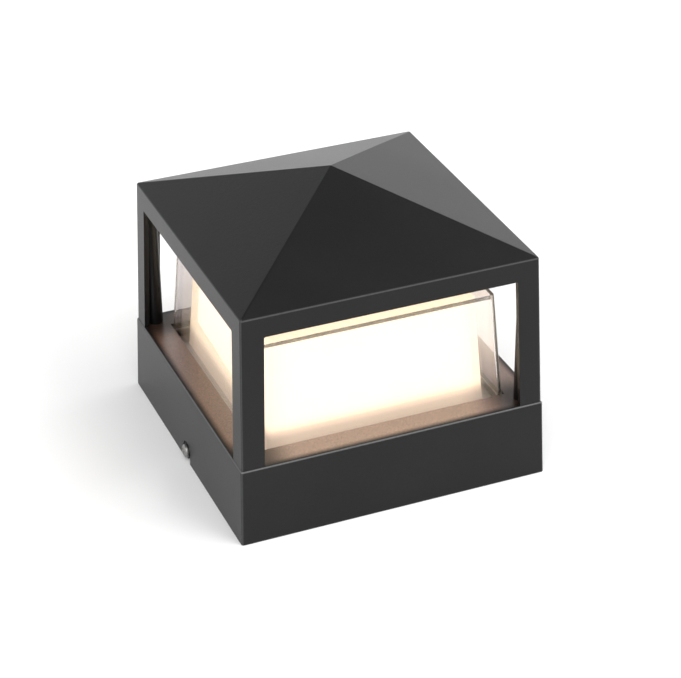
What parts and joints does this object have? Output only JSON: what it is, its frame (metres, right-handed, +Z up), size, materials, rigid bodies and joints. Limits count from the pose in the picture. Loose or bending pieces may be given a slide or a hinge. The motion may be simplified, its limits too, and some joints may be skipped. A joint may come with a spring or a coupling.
{
  "type": "deck post cap light",
  "caption": "Square outdoor light for the top of a deck post: cast hood with pyramid roof and open windows, clear shade with opal diffuser, on a cast base.",
  "frame": {"origin": "middle of the base's foot, on the top of the post", "axes": "+Z up, -Y towards the front of the picture, +X to its right"},
  "size_m": [0.1542, 0.15, 0.1396],
  "materials": {
    "powder_coat": "satin fine-texture anthracite powder coat on die-cast aluminium",
    "clear_shade": "clear moulded shade, gloss",
    "opal_diffuser": "opal diffuser, lit warm white from inside",
    "silicone": "translucent grey silicone sheet",
    "aluminium_plate": "milled aluminium plate",
    "stainless_screws": "plain stainless steel",
    "thermal_pad": "soft thermal pad",
    "white_board": "white solder mask",
    "led_phosphor": "yellow phosphor under clear resin",
    "white_plastic": "white moulded plastic",
    "driver_case": "light grey moulded case",
    "cream_plastic": "cream moulded plastic",
    "brass_screws": "plain brass",
    "tinned_brass": "tinned brass sheet",
    "earth_insulation": "green and yellow lead insulation",
    "live_insulation": "brown lead insulation",
    "neutral_insulation": "blue lead insulation",
    "black_insulation": "black lead insulation",
    "red_insulation": "red lead insulation",
    "cover_sheet": "satin dark powder coat on sheet",
    "black_rubber": "matt black rubber",
    "black_plastic": "matt black moulded plastic",
    "galvanised_bar": "zinc-plated steel strip",
    "galvanised_nuts": "zinc-plated steel"
  },
  "bodies": {
    "mount": {"mounting_bar": "galvanised_bar", "clinch_nuts": "galvanised_nuts"},
    "lamp": {"base_housing": "powder_coat", "hood": "powder_coat", "clear_shade": "clear_shade", "shade_gasket": "silicone", "opal_diffuser": "opal_diffuser", "heat_sink_plate": "aluminium_plate", "heat_sink_screws": "stainless_screws", "thermal_pad": "thermal_pad", "led_board": "white_board", "led_chips": "led_phosphor", "board_connector": "white_plastic", "board_screws": "stainless_screws", "led_driver": "driver_case", "driver_screws": "stainless_screws", "terminal_block": "cream_plastic", "terminal_fixing_screws": "stainless_screws", "terminal_clamp_screws": "brass_screws", "earth_tag": "tinned_brass", "earth_screw": "brass_screws", "earth_lead": "earth_insulation", "live_lead": "live_insulation", "neutral_lead": "neutral_insulation", "board_lead_minus": "black_insulation", "board_lead_plus": "red_insulation", "bottom_cover": "cover_sheet", "cover_gasket": "silicone", "cable_grommet": "black_rubber", "vent_plug": "black_plastic", "long_screws": "stainless_screws"},
    "left_washer": {"side_washer_left": "stainless_screws"},
    "left_screw": {"side_screw_left": "stainless_screws"},
    "right_washer": {"side_washer_right": "stainless_screws"},
    "right_screw": {"side_screw_right": "stainless_screws"}
  },
  "joints": [
    {"name": "lamp_lift", "type": "slide", "parent": "mount", "child": "lamp", "axis": [0, 0, 1], "range_m": [0, 0.06]},
    {"name": "left_screw_out", "type": "slide", "parent": "mount", "child": "left_washer", "axis": [-1, 0, 0], "range_m": [0, 0.0046]},
    {"name": "left_screw_turn", "type": "hinge", "parent": "left_washer", "child": "left_screw", "pos_m": [-0.0745, 0, 0.005], "axis": [-1, 0, 0], "range_deg": [0, 2380]},
    {"name": "right_screw_out", "type": "slide", "parent": "mount", "child": "right_washer", "axis": [1, 0, 0], "range_m": [0, 0.0046]},
    {"name": "right_screw_turn", "type": "hinge", "parent": "right_washer", "child": "right_screw", "pos_m": [0.0745, 0, 0.005], "axis": [1, 0, 0], "range_deg": [0, 2380]}
  ],
  "couplings": [
    {"joint": "left_screw_turn", "follows": "left_screw_out", "rad_per_m": 8976},
    {"joint": "right_screw_turn", "follows": "right_screw_out", "rad_per_m": 8976}
  ]
}
